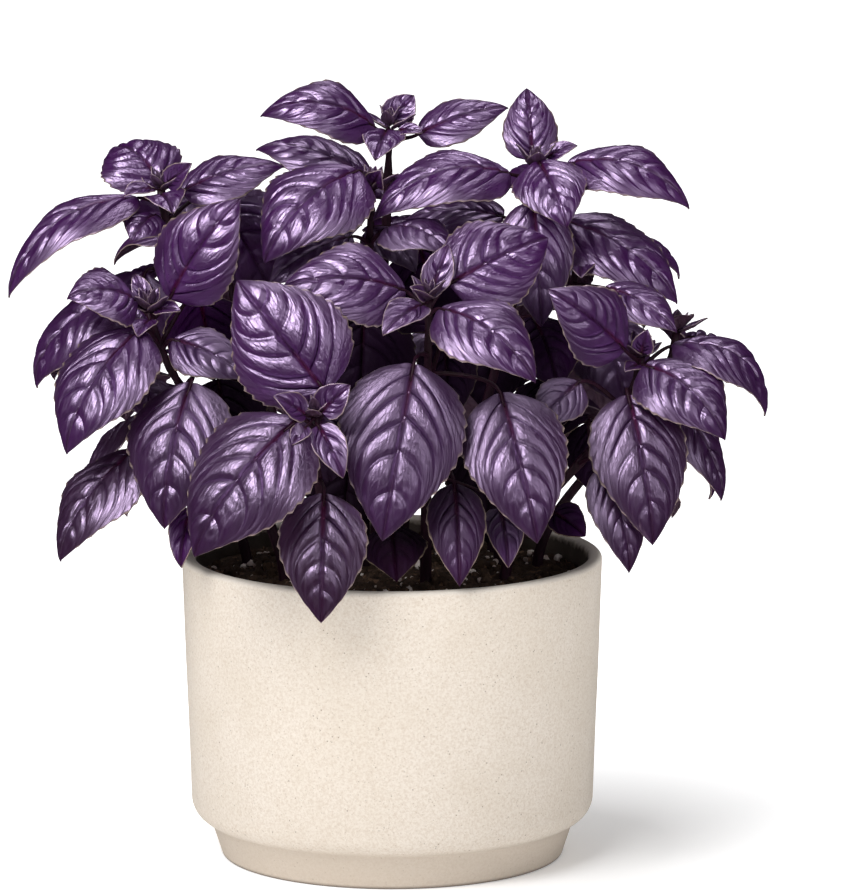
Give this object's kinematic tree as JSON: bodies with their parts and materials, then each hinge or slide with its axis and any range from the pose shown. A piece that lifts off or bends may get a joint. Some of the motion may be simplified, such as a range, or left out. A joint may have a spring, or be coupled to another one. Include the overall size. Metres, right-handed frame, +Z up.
{
  "type": "potted purple basil",
  "caption": "Bushy purple-leaved basil, leafy stems with glossy toothed leaves standing in the soil of a plain cream stoneware pot with a stepped foot.",
  "frame": {"origin": "middle of the pot's flat underside", "axes": "+Z up along the pot's axis, -Y towards the viewer of the picture, +X to the viewer's right"},
  "size_m": [0.2716, 0.2431, 0.2748],
  "materials": {
    "stoneware": "matte cream stoneware with fine grey-brown specks and a satin sheen, paler at the rim",
    "potting_mix": "moist near-black brown crumbs with bark fibres and white perlite grains",
    "purple_leaf": "glossy deep purple blades with sunken veins and a pale margin, dull maroon stems and undersides"
  },
  "bodies": {
    "root": {"pot": "stoneware", "soil": "potting_mix", "leafy_stem_upper_left": "purple_leaf", "leafy_stem_top_middle": "purple_leaf", "leafy_stem_centre": "purple_leaf", "leafy_stem_top_right": "purple_leaf", "leafy_stem_left": "purple_leaf", "leafy_stem_front_upper": "purple_leaf", "leafy_stem_front_lower": "purple_leaf", "leafy_stem_right": "purple_leaf", "leafy_stem_right_middle": "purple_leaf", "leafy_stem_back_left": "purple_leaf", "leafy_stem_back": "purple_leaf", "leafy_stem_back_right": "purple_leaf", "leafy_stem_far_right": "purple_leaf", "leafy_stem_far_left": "purple_leaf"}
  },
  "joints": []
}
